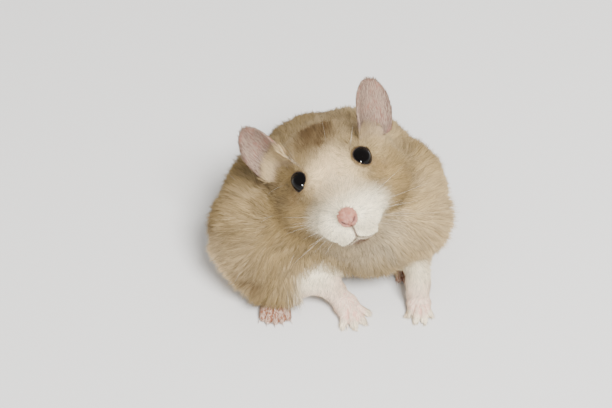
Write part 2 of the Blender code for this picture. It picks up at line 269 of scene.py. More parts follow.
# Draws the fused surface in from the tips of the coat to where the hair grows.
def drawIn(mesh):
    shares = regionShares(mesh)
    edges = meshEdges(mesh)
    thin = shareOf(shares, "forepaw") + shareOf(shares, "hindfoot")
    amount = skinLook["evening"] - skinLook["pawEvening"] * np.clip(thin, 0.0, 1.0)
    amount = amount - skinLook["earEvening"] * np.clip(shareOf(shares, "ear"), 0.0, 1.0)
    points = evened(meshPoints(mesh), edges, 5, amount)
    setPoints(mesh, points)
    depth = shares @ np.array([skinLook["coatDepth"][region] for region in regions])
    local = toHead(points)
    for near, shallow in (
        (blob(local, skinLook["muzzle"], skinLook["muzzleRadii"], 0.4), skinLook["muzzleDepth"]),
        (blob(mirrored(local), skinLook["earRoot"], skinLook["earRootRadii"], 0.5), skinLook["earRootDepth"]),
    ):
        depth = np.minimum(depth, depth * (1 - near) + shallow * near)
    for centre in eyeCentres.values():
        near = 1.0 - smoothStep(*skinLook["eyeReach"], np.linalg.norm(points - centre, axis=1))
        depth = depth * (1 - near) + np.minimum(depth, skinLook["eyeDepth"]) * near
    depth = evened(depth, edges, skinLook["depthRounds"])
    outward = evened(meshNormals(mesh), edges, 4)
    setPoints(mesh, points - unit(outward) * (depth + skinLook["swell"])[:, None])


# Evens the surface once more, and brings the thin leaves of the ears back out to their solids.
def restoreEars(mesh):
    leaf = smoothStep(0.35, 0.75, shareOf(regionShares(mesh), "ear"))
    edges = meshEdges(mesh)
    points = evened(meshPoints(mesh), edges, 3, 0.5 - 0.45 * leaf)
    for index in np.flatnonzero(leaf > 0):
        near, normal, _, _ = fleshTree.find_nearest(Vector(points[index] * mm))
        wanted = np.array(near - normal * (skinLook["earInset"] * mm)) / mm
        points[index] += (wanted - points[index]) * leaf[index]
    for _ in range(skinLook["earRounds"]):  # in and out again, so that the leaf doesn't shrink
        points = evened(points, edges, 1, 0.5 * leaf)
        points = evened(points, edges, 1, -0.52 * leaf)
    setPoints(mesh, points)


# Splits faces near a point once for each radius, so that lids, nostrils and lips have enough of them.
def refine(mesh, centre, radii):
    middle = Vector(centre) * mm
    for radius in radii:
        work = bmesh.new()
        work.from_mesh(mesh)
        chosen = [
            edge for edge in work.edges
            if all((corner.co - middle).length < radius * mm for corner in edge.verts)
        ]
        bmesh.ops.subdivide_edges(work, edges=chosen, cuts=1, use_grid_fill=True)
        work.to_mesh(mesh)
        work.free()


# Across and up on the head, in millimetres.
noseLook = {
    "middle": -2.9, "width": 2.1, "height": 2.75, "rise": 0.16, "cleft": 0.12, "cleftWidth": 0.22,
    "nostril": (1.05, -3.5), "nostrilDepth": 0.5, "nostrilWidth": 0.26, "nostrilRim": 0.12,
    "philtrum": (-5.0, -8.3), "philtrumDepth": 0.3, "philtrumWidth": 0.24,
}
mouthLook = {
    "middle": -8.6, "corner": (3.9, -11.1), "depth": 0.75, "width": 0.26, "rim": 0.18,
    "chin": (0, -15.0, -11.8), "chinRadii": (4.6, 4.0, 2.9), "chinBack": 1.3,
}
# Millimetres, and degrees from the gaze to the lids: more at the two corners, less above and below.
eyeLook = {
    "radius": 2.3, "reach": 6.0, "gaze": (0.56, -0.66, 0.5), "opening": 60.0,
    "corner": (0.62, 0.25, -0.76), "cornerMore": 13.0, "innerMore": 6.0, "flatter": 7.0,
    "lid": 0.14, "lidGap": 0.05, "lidAt": 6.0, "lidWide": 9.0, "lidEnd": 45.0, "socketInside": 0.45,
}


def distanceToLine(across, up, line):
    best = np.full(len(across), 1e9)
    for (x0, z0), (x1, z1) in zip(line, line[1:]):
        dx, dz = x1 - x0, z1 - z0
        share = np.clip(((across - x0) * dx + (up - z0) * dz) / (dx * dx + dz * dz), 0, 1)
        best = np.minimum(best, np.hypot(across - x0 - dx * share, up - z0 - dz * share))
    return best


def faceLines(local):
    across, up = np.abs(local[:, 0]), local[:, 2]
    front = smoothStep(-8.0, -10.5, local[:, 1])
    x, z = noseLook["nostril"]
    nostril = distanceToLine(across, up, [(x * 0.5, z - 0.3), (x * 0.95, z - 0.1), (x * 1.35, z + 0.55)])
    philtrum = distanceToLine(across, up, [(0.0, height) for height in noseLook["philtrum"]])
    middle = mouthLook["middle"]
    lips = distanceToLine(across, up, [(0.0, middle + 0.3), (1.3, middle - 0.75), mouthLook["corner"]])
    return nostril, philtrum, lips, front


def nosePad(local):
    x = local[:, 0] / noseLook["width"]
    z = (local[:, 2] - noseLook["middle"]) / noseLook["height"]
    wide = 1.0 + 0.22 * np.clip(z, -1.0, 1.0)  # the pad is broader above than below
    reach = np.sqrt((x / wide) ** 2 + z ** 2)
    return (1.0 - smoothStep(0.84, 1.1, reach)) * smoothStep(-13.5, -14.5, local[:, 1])


def shapeFace(mesh):
    points = meshPoints(mesh)
    normals = meshNormals(mesh)
    local = toHead(points)
    nostril, philtrum, lips, front = faceLines(local)
    pad = nosePad(local)
    rise = noseLook["rise"] * pad - noseLook["cleft"] * ridge(local[:, 0], noseLook["cleftWidth"]) * pad
    rise = rise - noseLook["nostrilDepth"] * ridge(nostril, noseLook["nostrilWidth"]) * front
    rise = rise + noseLook["nostrilRim"] * ridge(nostril - 0.6, 0.28) * front * pad
    rise = rise - noseLook["philtrumDepth"] * ridge(philtrum, noseLook["philtrumWidth"]) * front
    rise = rise - mouthLook["depth"] * ridge(lips, mouthLook["width"]) * front
    rise = rise + mouthLook["rim"] * ridge(lips - 0.7, 0.45) * front
    rise = rise - mouthLook["chinBack"] * blob(local, mouthLook["chin"], mouthLook["chinRadii"], 0.6)
    setPoints(mesh, points + normals * rise[:, None])


# A direction given for the left eye, for either eye.
def sided(direction, name):
    return np.array(direction) * (1.0 if name == "eye_left" else -1.0, 1.0, 1.0)


def gazeOf(name):
    gaze = sided(eyeLook["gaze"], name)
    return (gaze / np.linalg.norm(gaze)) @ headAxes.T


# How far each point is from the eye's middle, which way, and how many degrees past the opening's edge.
def eyeAngles(points, name):
    gaze = gazeOf(name)
    offset = points - eyeCentres[name]
    reach = np.linalg.norm(offset, axis=1)
    toward = offset / np.maximum(reach, 1e-9)[:, None]
    angle = np.degrees(np.arccos(np.clip(toward @ gaze, -1, 1)))
    corner = sided(eyeLook["corner"], name) @ headAxes.T
    corner -= gaze * (corner @ gaze)
    corner /= np.linalg.norm(corner)
    along = (toward @ corner) / np.maximum(np.sin(np.radians(angle)), 1e-6)
    opening = eyeLook["opening"] - eyeLook["flatter"] * (1 - along * along)
    opening = opening + eyeLook["cornerMore"] * np.clip(along, 0, 1) ** 5
    opening = opening + eyeLook["innerMore"] * np.clip(-along, 0, 1) ** 5
    return reach, toward, angle - opening


# Keeps the skin off the ball: behind it in the opening, and just over it at the lids.
def shapeLids(mesh):
    points = meshPoints(mesh)
    radius = eyeLook["radius"]
    for name in eyeNodes:
        reach, toward, past = eyeAngles(points, name)
        near = reach < radius * 2.0
        lid = radius + eyeLook["lid"] * ridge(past - eyeLook["lidAt"], eyeLook["lidWide"]) + eyeLook["lidGap"]
        outside = np.maximum(reach, np.where(past < eyeLook["lidEnd"], lid, 0.0))
        wanted = np.where(past < 0.0, radius - eyeLook["socketInside"], outside)
        points = np.where(near[:, None], eyeCentres[name] + toward * wanted[:, None], points)
    setPoints(mesh, points)


# Where each palm and each toe's tip is over the floor, in millimetres.
paws = {
    "forepawLeft": ((20.3, -20.5), ((17.7, -23.1), (19.4, -25.0), (21.6, -25.1), (23.2, -23.3))),
    "forepawRight": ((3.5, -21.3), ((2.8, -26.5), (5.6, -26.7), (8.0, -25.4), (8.8, -22.7))),
    "hindfootLeft": (
        (17.7, -6.2), ((15.8, -13.7), (17.6, -14.1), (19.3, -14.0), (21.0, -13.4), (22.5, -12.3)),
    ),
    "hindfootRight": (
        (-12.4, -17.6), ((-15.8, -24.6), (-14.1, -25.3), (-12.4, -25.6), (-10.7, -25.3), (-9.0, -24.6)),
    ),
}
pawLook = {"groove": 0.42, "grooveWidth": 0.3, "gapFrom": 0.5, "gapTo": 1.15, "top": 4.0, "tipHeight": 0.8}
farAway = 99.0


# How far each point is from the nearest gap between two toes.
def toeGap(points):
    gap = np.full(len(points), farAway)
    for palm, tips in paws.values():
        palm = np.array(palm)
        for first, second in zip(np.array(tips), np.array(tips[1:])):
            middle = (first + second) / 2 - palm
            line = [palm + middle * pawLook["gapFrom"], palm + middle * pawLook["gapTo"]]
            gap = np.minimum(gap, distanceToLine(points[:, 0], points[:, 1], line))
    return gap + 9.0 * smoothStep(pawLook["top"], pawLook["top"] + 0.5, points[:, 2])


# How far each point is from the nearest toe's tip.
def toeReach(points):
    near = np.full(len(points), farAway)
    for _, tips in paws.values():
        for tip in tips:
            near = np.minimum(near, np.linalg.norm(points - (*tip, pawLook["tipHeight"]), axis=1))
    return near


def shapePaws(mesh):
    points = meshPoints(mesh)
    groove = ridge(toeGap(points), pawLook["grooveWidth"]) * smoothStep(0.3, 0.8, points[:, 2])
    points = points - meshNormals(mesh) * (groove * pawLook["groove"])[:, None]
    setPoints(mesh, points)


pilePoints, pileSwollen, pileFaces, pileOwners = fleshPile()
fleshTree = BVHTree.FromPolygons(pilePoints, pileFaces)
skinMesh = fusedSkin(pileSwollen, pileFaces)
print("fused skin:", len(skinMesh.polygons), "faces")
drawIn(skinMesh)
refine(skinMesh, fromHead(skinLook["muzzle"]), skinLook["muzzleFine"])
for centre in eyeCentres.values():
    refine(skinMesh, centre, skinLook["eyeFine"])
for _, tips in paws.values():
    refine(skinMesh, (*np.mean(tips, axis=0), 1.0), skinLook["pawFine"])
restoreEars(skinMesh)
shapeFace(skinMesh)
shapePaws(skinMesh)
shapeLids(skinMesh)
skinMesh.name = "skin"
skin = linkObject("skin", skinMesh)
print("skin:", len(skinMesh.polygons), "faces")


# Everything below is worked out once at the points of the skin, and the coat takes it from there.
place = meshPoints(skinMesh)
edges = meshEdges(skinMesh)
calmUp = unit(evened(meshNormals(skinMesh), edges, 10))
local = toHead(place)
skinShares = regionShares(skinMesh)
share = {region: shareOf(skinShares, region) for region in regions}
onHead = np.clip(share["head"] + share["nose"] + share["ear"], 0, 1)
side = np.sign(local[:, 0])
mirror = mirrored(local)
pad = nosePad(local)
nostril, philtrum, lips, faceFront = faceLines(local)
eyePast = {name: eyeAngles(place, name) for name in eyeNodes}


# 1 round the opening of an eye, falling to 0 between two angles past its edge.
def nearEye(low, high):
    found = np.zeros(len(place))
    for reach, _, past in eyePast.values():
        found = np.maximum(found, (1 - smoothStep(low, high, past)) * (reach < eyeLook["reach"]))
    return found


# Places and headings of the hair, in millimetres; the nose and the ears are in the head's frame.
combLook = {
    "noseTip": (0.0, -20.0, 0.5), "drop": (0.0, 0.2, -0.35), "wave": 0.3, "waveSize": 5.0,
    "eyeReach": (3.0, 6.6), "eyePush": 2.6, "palmReach": (4.0, 9.0), "palmPush": 2.0,
    "leg": (0.0, -0.55, -0.8), "foot": (0.0, -1.0, -0.1), "tail": (-0.2, 1.0, -0.25),
    "ear": (0.33, 0.1, 0.95), "palmHeight": 2.0,
}


# Slow waves over the body, from a few sines, so that the locks don't all lie alike.
def waves(points, size, seed):
    random = np.random.default_rng(seed)
    total = np.zeros(len(points))
    for _ in range(7):
        heading = random.normal(size=3)
        heading *= 2 * math.pi / (size * random.uniform(0.6, 1.6)) / np.linalg.norm(heading)
        total += np.sin(points @ heading + random.uniform(0, 6.3))
    return total / 2.6


# The way the hair lies: away from the nose over head and body, round the eyes, down the legs.
def combing():
    flow = unit(place - fromHead(combLook["noseTip"]))
    flow = flow + (1 - onHead)[:, None] * combLook["drop"]
    for centre in eyeCentres.values():
        away = place - centre
        near = 1 - smoothStep(*combLook["eyeReach"], np.linalg.norm(away, axis=1))
        flow = flow + unit(away) * near[:, None] * combLook["eyePush"]
    legs = share["foreleg"] + share["forepaw"]
    feet = share["hindfoot"]
    flow = flow * (1 - legs - feet)[:, None] + legs[:, None] * combLook["leg"]
    flow = flow + feet[:, None] * combLook["foot"]
    for palm, _ in paws.values():
        away = place - (*palm, combLook["palmHeight"])
        near = 1 - smoothStep(*combLook["palmReach"], np.linalg.norm(away, axis=1))
        flow = flow + unit(away) * (near * share["forepaw"])[:, None] * combLook["palmPush"]
    tail = share["tail"]
    flow = flow * (1 - tail)[:, None] + tail[:, None] * combLook["tail"]
    for sign in (1.0, -1.0):
        ear = share["ear"] * (side == sign)
        rim = (np.array(combLook["ear"]) * (sign, 1, 1)) @ headAxes.T
        flow = flow * (1 - ear)[:, None] + ear[:, None] * rim
    flow = evened(flow, edges, 6)
    flow = unit(flow - calmUp * np.sum(flow * calmUp, axis=1)[:, None])
    across = np.cross(calmUp, flow)
    sway = waves(place, combLook["waveSize"], 3) * combLook["wave"]
    sway *= np.clip(1 - share["ear"] - share["nose"] - 0.6 * onHead, 0.15, 1)
    return unit(flow + across * sway[:, None])


lie = combing()

# Soft patches of colour: the middle, the radii and the softness, in millimetres.
headPatches = {
    "muzzle": ((0, -13.5, -6.0), (8.8, 8.2, 6.9), 0.3),
    "bridge": ((0, -12.0, 2.5), (4.5, 4.0, 3.5), 0.7),
    "throat": ((0, -6, -14.5), (9.5, 9, 6), 0.5),
    # The chin patch is painted shade, greying the fur below the mouth as if under the muzzle's shadow.
    "chin": ((0, -9.5, -14.0), (7.5, 8.0, 5.5), 0.6),
    "brow": ((0, -8.5, 4.5), (5.4, 8.0, 6.0), 0.65),
    # The crown patch is partly the darker hair of the crown and partly painted shade in the crease between
    # the head and the back.
    "crown": ((-1.0, 3.5, 8.0), (4.2, 7.5, 5.5), 0.6),
}
bodyPatches = {
    "chest": ((8.0, -21.0, 12.0), (15.0, 8.5, 9.0), 0.45),
    "rightArm": ((-3.0, -22.0, 9.5), (5.4, 5.5, 5.0), 0.4),
    "leftArm": ((19.8, -19.4, 8.5), (5.0, 5.0, 5.5), 0.4),
    "bellyFront": ((9.0, -15.0, 7.0), (9.0, 6.0, 4.0), 0.6),
    "haunch": ((-23.6, -15.2, 9.8), (8.0, 7.2, 9.2), 0.6),
    # The animal's left side is paler: partly its coat and partly painted light on the side the light falls
    # on.
    "leftSide": ((26.0, -10.0, 17.0), (11.0, 13.0, 12.0), 0.6),
    # The back is paler as painted light, for the light that falls on its top.
    "back": ((0.0, 7.0, 37.0), (20.0, 13.0, 11.0), 0.6),
    "neck": ((-16.5, -9.0, 23.0), (5.0, 5.0, 5.0), 0.8),
}
patch = {name: blob(local, *shape) for name, shape in headPatches.items()}
patch.update({name: blob(place, *shape) for name, shape in bodyPatches.items()})
patch["cheekShade"] = blob(mirror, (10.8, -6.3, -2.5), (3.6, 3.4, 4.8), 0.8)

# How far above the line of the mouth a point is, and whether it is on the upper lip's side of it.
mouthGap = local[:, 2] - mouthLook["middle"] + 0.3 + 0.62 * np.abs(local[:, 0])
aboveMouth = smoothStep(-0.7, 0.3, mouthGap)

# The foot of each ear, which the hair of the head covers.
earSlope = local[:, 2] + 1.07 * np.abs(local[:, 0])
earFoot = share["ear"] * (1 - smoothStep(-1.0, 1.0, earSlope - np.where(side > 0, 17.8, 21.3)))

behindHead = smoothStep(2.0, 9.0, place[:, 1]) * smoothStep(9.0, 20.0, place[:, 2])
spine = ridge(place[:, 0] - (2.6 - 0.2 * place[:, 1]), 1.7) * behindHead
belly = 1 - smoothStep(1.5, 5.5, place[:, 2] + 0.9 * waves(place, 11, 5))
forearm = share["foreleg"] * (1 - smoothStep(6.0, 12.0, place[:, 2]))
toeTip = (1 - smoothStep(0.9, 1.9, toeReach(place))) * share["forepaw"]

# Painted shade along the crease of a fold on the right side, from above to the front.
foldShadeLook = {
    "path": ((-25.0, -8.0, 20.0), (-24.3, -10.1, 17.8), (-20.0, -17.0, 14.5), (-15.3, -20.5, 11.8)),
    "width": 1.8, "strength": 0.9,
}


def foldShade():
    gap = np.full(len(place), farAway)
    path = np.array(foldShadeLook["path"])
    for start, end in zip(path, path[1:]):
        along = np.clip((place - start) @ (end - start) / ((end - start) @ (end - start)), 0, 1)
        gap = np.minimum(gap, np.linalg.norm(place - start - along[:, None] * (end - start), axis=1))
    return foldShadeLook["strength"] * ridge(gap, foldShadeLook["width"])


# The markings, with painted shade and painted light among them, as shares from 0 to 1 that skin and coat both
# read.
white = np.maximum.reduce([
    # The muzzle's white fades out below the mouth, as painted shade under the muzzle.
    patch["muzzle"] * onHead * (0.1 + 0.9 * aboveMouth), patch["bridge"] * onHead * 0.3,
    # The chest's white is kept faint, as painted shade under the head.
    patch["throat"] * 0.2, belly * 0.5, patch["chest"] * 0.1,
    np.maximum(patch["rightArm"], patch["leftArm"]) * 0.75, patch["bellyFront"] * 0.5,
    share["foreleg"], share["forepaw"],
# The hind feet get no white, as they are in painted shade.
]) * (1 - share["hindfoot"])
dark = np.maximum.reduce([
    # The crown's darkness is partly its hair and partly painted shade in the crease behind the head.
    patch["cheekShade"] * 0.14, patch["crown"] * (0.95 + 0.25 * waves(place, 3.0, 8)),
    # The hind feet are darkened as painted shade under the body.
    spine * 0.35, foldShade(), share["hindfoot"] * 0.45,
    # The chin below the mouth is darkened as painted shade under the muzzle.
    patch["chin"] * (1 - aboveMouth) * 0.3,
])
pale = np.maximum.reduce([
    # The left side's paleness is partly its coat and partly painted light.
    patch["brow"] * onHead, patch["haunch"] * 0.95, patch["leftSide"] * 0.45,
    # The back's paleness is painted light on its top.
    patch["back"] * 0.55, patch["neck"] * 0.2, earFoot * np.where(side > 0, 0.3, 0.65),
])
# The mouth's line, its middle and the philtrum are dark: partly the lips' own dark red, partly painted shade
# in the mouth's opening and the philtrum's groove.
lip = np.maximum.reduce([
    ridge(lips, 0.34), np.exp(-(((mouthGap + 0.9) / 0.9) ** 2 + (local[:, 0] / 1.6) ** 2)),
    0.95 * ridge(philtrum, 0.33),
])
marks = {
    "white": np.clip(evened(white, edges, 6), 0, 1),
    "dark": evened(np.clip(dark, 0, 1), edges, 3),
    "pale": evened(np.clip(pale, 0, 1), edges, 4),
    "bare": np.clip(pad + 0.9 * share["nose"] * pad, 0, 1),
    "eyeRim": nearEye(2.0, 8.0),
    "eyeRing": nearEye(9.0, 30.0),
    "ear": np.clip(share["ear"] * 1.2, 0, 1) * (1 - earFoot),
    "paw": np.clip(share["forepaw"] + share["hindfoot"] + 0.8 * forearm - 0.8 * toeTip, 0, 1),
    # The nostril slits: their dark is partly their own colour and partly painted shade.
    "nostril": ridge(nostril, 0.27) * faceFront,
    "lip": lip * faceFront,
}


def addNumbers(mesh, name, values):
    mesh.attributes.new(name, "FLOAT", "POINT").data.foreach_set("value", values.astype(np.float32))


def addVectors(mesh, name, values):
    made = mesh.attributes.new(name, "FLOAT_VECTOR", "POINT")
    made.data.foreach_set("vector", values.astype(np.float32).ravel())


# Lock sizes in millimetres: how long, how wide a strand is, and how far the tip stands off the skin.
coatSizes = {
    "trunk": (5.0, 0.11, 1.5), "neck": (4.4, 0.105, 1.3), "head": (2.6, 0.075, 0.6),
    "hindleg": (5.0, 0.11, 1.5), "foreleg": (1.8, 0.07, 0.4), "forepaw": (0.8, 0.045, 0.13),
    "hindfoot": (0.8, 0.05, 0.14), "tail": (2.2, 0.09, 0.7), "ear": (1.2, 0.028, 0.05),
    "nose": (0.6, 0.05, 0.15),
}
coatThick = {  # locks to a square millimetre
    "trunk": 8.0, "neck": 10.0, "head": 21.0, "hindleg": 8.0, "foreleg": 18.0, "forepaw": 14.0,
    "hindfoot": 12.0, "tail": 12.0, "ear": 9.0, "nose": 6.0,
}
boxLook = {"margin": 0.4, "longest": 1.1, "least": 0.3}


# How much of its size each lock may have, so that it stays by the solids' box.
def room(sizes):
    low, high = np.array(cadBox) / mm
    reach = (lie * sizes[:, 0:1] + calmUp * sizes[:, 2:3]) * boxLook["longest"]
    free = np.where(reach > 0, high - place, place - low) + boxLook["margin"]
    return np.clip(np.min(free / np.maximum(np.abs(reach), 1e-3), axis=1), boxLook["least"], 1.0)


# Where the coat differs from that of its region: how much, the lock's sizes, and how much thicker.
def coatZones():
    offEars = 1 - share["ear"]
    lines = np.minimum(lips, np.minimum(philtrum, nostril)) + 3 * (1 - faceFront)
    lipEdge = np.exp(-(((mouthGap - 0.5) / 1.1) ** 2 + (local[:, 0] / 4.0) ** 4)) * faceFront
    return {
        "cheeks": (blob(mirror, (10.0, -1.0, -5.5), (6.0, 7.0, 7.0), 0.5) * onHead, (3.8, 0.09, 0.95), 0.7),
        "nape": (smoothStep(-1.0, 4.5, local[:, 1]) * onHead * offEars, (4.6, 0.09, 1.6), 0.7),
        "muzzle": (blob(local, (0, -18, -4), (9.5, 9.5, 8.5), 0.6) * onHead, (1.5, 0.055, 0.34), 1.4),
        "nose": (blob(local, (0, -18, -3.5), (4.5, 4.5, 4.5), 0.5) * onHead, (0.6, 0.04, 0.14), 1.3),
        "eyes": (nearEye(15.0, 60.0) * onHead, (0.7, 0.05, 0.17), 1.5),
        "earRoots": (
            blob(mirror, skinLook["earRoot"], (4.2, 4.0, 3.4), 0.6) * offEars, (2.8, 0.07, 0.9), 1.0,
        ),
        "earFeet": (earFoot, (2.6, 0.06, 0.7), 1.8),
        "lipEdge": (lipEdge, (0.28, 0.035, 0.05), 1.3),
        "toeTips": (toeTip, (1.5, 0.05, 0.12), 1.2),
        "leftArm": (blob(place, (19.5, -18.5, 11.0), (5.5, 5.5, 6.0), 0.5), (2.3, 0.08, 0.5), 1.6),
        "faceLines": (1 - smoothStep(0.5, 1.6, lines), (0.45, 0.04, 0.08), 1.4),
    }


def coatNumbers():
    sizes = skinShares @ np.array([coatSizes[region] for region in regions])
    thick = skinShares @ np.array([coatThick[region] for region in regions])
    for zone, size, crowd in coatZones().values():
        sizes = sizes * (1 - zone)[:, None] + np.array(size) * zone[:, None]
        thick = thick * (1 + (crowd - 1) * zone)
    bare = np.maximum.reduce([
        pad * 1.4, nearEye(5.0, 12.0) * 1.2, marks["nostril"], marks["lip"] * 1.6,
        ridge(toeGap(place), 0.32),
    ])
    below = (1 - smoothStep(2.0, 3.5, place[:, 2])) * smoothStep(0.5, 0.8, -calmUp[:, 2])
    thick = thick * np.clip(1 - bare, 0, 1) * (1 - 0.6 * below)
    sizes[:, 0] *= 1 + 0.16 * waves(place, 7.0, 9)
    sizes = evened(sizes, edges, 4)
    sizes[:, (0, 2)] *= room(sizes)[:, None]
    return sizes, thick


lockSizes, lockThick = coatNumbers()
for name, values in marks.items():
    addNumbers(skinMesh, name, values)
for column, name in enumerate(("lockLength", "lockWidth", "lockRise")):
    addNumbers(skinMesh, name, lockSizes[:, column] * mm)
addVectors(skinMesh, "lie", lie)
addVectors(skinMesh, "up", calmUp)
print("combed")

# The skin's map gives each lock its place on the coat's map.
bpy.context.view_layer.objects.active = skin
skin.select_set(True)
bpy.ops.object.mode_set(mode="EDIT")
bpy.ops.mesh.select_all(action="SELECT")
bpy.ops.uv.smart_project(angle_limit=math.radians(72), island_margin=0.001)
bpy.ops.object.mode_set(mode="OBJECT")
skinMesh.uv_layers.active.name = "rootUV"
print("unwrapped")


# A socket with sums on it: + - * and ** make Math nodes, so a pattern reads as a formula.
class Sum:
    def __init__(self, paint, socket):
        self.paint = paint
        self.socket = socket

    def math(self, operation, first, second=0.0, clamp=False):
        node = self.paint.tree.nodes.new("ShaderNodeMath")
        node.operation = operation
        node.use_clamp = clamp
        for number, value in enumerate((first, second)):
            self.paint.feed(node.inputs[number], value)
        return Sum(self.paint, node.outputs[0])

    def __add__(self, other):
        return self.math("ADD", self, other)

    __radd__ = __add__

    def __mul__(self, other):
        return self.math("MULTIPLY", self, other)

    __rmul__ = __mul__

    def __sub__(self, other):
        return self.math("SUBTRACT", self, other)

    def __rsub__(self, other):
        return self.math("SUBTRACT", other, self)

    def __pow__(self, other):
        return self.math("POWER", self, other)

    def clamped(self):
        return self.math("MULTIPLY", self, 1.0, clamp=True)


class Paint:
    def __init__(self, name):
        self.material = bpy.data.materials.new(name)
        self.material.use_nodes = True
        self.tree = self.material.node_tree
        self.shader = self.tree.nodes["Principled BSDF"]

    def feed(self, socket, value):
        if isinstance(value, Sum):
            self.tree.links.new(value.socket, socket)
        else:
            socket.default_value = value

    # Any node: its type, its settings, then its sockets by name.
    def node(self, kind, settings=None, output=0, **sockets):
        made = self.tree.nodes.new(kind)
        for key, value in (settings or {}).items():
            setattr(made, key, value)
        for key, value in sockets.items():
            self.feed(made.inputs[key.replace("_", " ")], value)
        return Sum(self, made.outputs[output])

    def mark(self, name, output="Fac"):
        return self.node("ShaderNodeAttribute", {"attribute_name": name}, output)

    def mix(self, share, first, second):
        made = self.tree.nodes.new("ShaderNodeMix")
        made.data_type = "RGBA"
        self.feed(made.inputs[0], share)
        self.feed(made.inputs[6], first)
        self.feed(made.inputs[7], second)
        return Sum(self, made.outputs[2])

    def noise(self, where, size, detail=2.0):
        return self.node("ShaderNodeTexNoise", Vector=where, Scale=1.0 / (size * mm), Detail=detail)

    def bump(self, height, distance, strength=1.0):
        return self.node("ShaderNodeBump", Height=height, Distance=distance * mm, Strength=strength)

    def finish(self, **sockets):
        for key, value in sockets.items():
            self.feed(self.shader.inputs[key.replace("_", " ")], value)
        return self.material


def colour(red, green, blue):
    return (red, green, blue, 1.0)


furColours = {
    "buff": colour(0.325, 0.218, 0.082),
    "greyBuff": colour(0.195, 0.134, 0.060),
    "pale": colour(0.770, 0.575, 0.310),
    "white": colour(0.880, 0.780, 0.560),
    "dark": colour(0.120, 0.070, 0.028),
    "underfur": colour(0.150, 0.108, 0.068),
    "earHair": colour(0.335, 0.235, 0.172),
    "pawPink": colour(0.860, 0.590, 0.480),
    "lipHair": colour(0.140, 0.060, 0.045),
    "eyeRing": colour(0.190, 0.115, 0.045),
}


# The colour of the coat from its markings and its painted shade and light, for hair rooted at a place.
def coatColour(paint, where):
    patches = (paint.noise(where, 4.5, 3.0) - 0.32) * 2.4
    body = paint.mix(patches.clamped(), furColours["greyBuff"], furColours["buff"])
    streaks = (paint.noise(where, 1.3, 3.0) - 0.55) * 4.0
    body = paint.mix(streaks.clamped() * 0.32, body, furColours["pale"])
    body = paint.mix(paint.mark("pale"), body, furColours["pale"])
    body = paint.mix(paint.mark("eyeRing") * 0.55, body, furColours["eyeRing"])
    body = paint.mix(paint.mark("dark"), body, furColours["dark"])
    body = paint.mix(paint.mark("white"), body, furColours["white"])
    body = paint.mix(paint.mark("paw") * 0.55, body, furColours["pawPink"])
    return paint.mix(paint.mark("ear"), body, furColours["earHair"])


def makeCoatMaterial():
    paint = Paint("coat")
    where = paint.mark("rootPlace", "Vector")
    body = coatColour(paint, where)
    along = paint.mark("along")
    shade = paint.mark("shade")
    # Hair at the lips takes the same dark, partly their colour and partly painted shade.
    body = paint.mix((paint.mark("lip") * 1.3).clamped(), body, furColours["lipHair"])
    rootShare = (1.0 - along * 2.2).clamped() * (1.0 - paint.mark("white") * 0.6)
    body = paint.mix(rootShare * 0.55, body, furColours["underfur"])
    fleck = (paint.noise(where, 0.5, 2.0) - 0.5) * 0.6 + (shade - 0.5) * 0.75
    body = paint.node("ShaderNodeHueSaturation", Color=body, Value=1.0 + fleck, Saturation=0.95)
    return paint.finish(Base_Color=body, Roughness=0.6, Specular_IOR_Level=0.05)


skinColours = {
    "nose": colour(0.360, 0.140, 0.095),
    "nosePale": colour(0.460, 0.235, 0.170),
    # The nostrils' colour below is partly their own dark red and partly painted shade in their slits.
    "noseDeep": colour(0.085, 0.016, 0.012),
    "lip": colour(0.070, 0.024, 0.019),
    "lid": colour(0.025, 0.018, 0.015),
    "ear": colour(0.150, 0.088, 0.066),
    "earDeep": colour(0.290, 0.135, 0.095),
    "paw": colour(0.780, 0.470, 0.360),
    # The colour below is the hind feet's skin with painted shade on it.
    "sole": colour(0.260, 0.110, 0.060),
}


def makeSkinMaterial():
    paint = Paint("skin")
    where = paint.node("ShaderNodeTexCoord", None, "Object")
    body = coatColour(paint, where)
    body = paint.mix(0.3, body, furColours["underfur"])
    blush = ((paint.noise(where, 3.5, 2.0) - 0.4) * 4.0).clamped()
    ear = paint.mix(blush, skinColours["ear"], skinColours["earDeep"])
    body = paint.mix(paint.mark("ear"), body, ear)
    # Where the dark share is strong, as on the hind feet, the paws take the skin colour with painted shade on
    # it.
    paw = paint.mix((paint.mark("dark") * 2.2).clamped(), skinColours["paw"], skinColours["sole"])
    body = paint.mix(paint.mark("paw"), body, paw)
    mottle = ((paint.noise(where, 0.7, 3.0) - 0.4) * 3.0).clamped()
    nose = paint.mix(mottle, skinColours["nose"], skinColours["nosePale"])
    body = paint.mix(paint.mark("bare"), body, nose)
    # The nostrils are darkened, partly their own colour and partly painted shade in the slits.
    body = paint.mix(paint.mark("nostril"), body, skinColours["noseDeep"])
    # The lips' dark is partly their own red and partly painted shade in the mouth.
    body = paint.mix(paint.mark("lip") * 0.85, body, skinColours["lip"])
    body = paint.mix(paint.mark("eyeRim"), body, skinColours["lid"])
    grain = paint.noise(where, 0.28, 2.0)
    return paint.finish(
        Base_Color=body, Roughness=0.55 + (1.0 - paint.mark("bare")) * 0.15,
        Specular_IOR_Level=0.2, Normal=paint.bump(grain, 0.05, 0.5),
    )


def makeEyeMaterial():
    black = colour(0.002, 0.0015, 0.0015)
    return Paint("eye").finish(Base_Color=black, Roughness=0.04, Specular_IOR_Level=0.12)


def makeHornMaterial():
    return Paint("claw").finish(Base_Color=colour(0.80, 0.66, 0.58), Roughness=0.35)


coatMaterial = makeCoatMaterial()
skinMaterial = makeSkinMaterial()
skinMesh.materials.clear()
skinMesh.materials.append(skinMaterial)
skinMesh.shade_smooth()


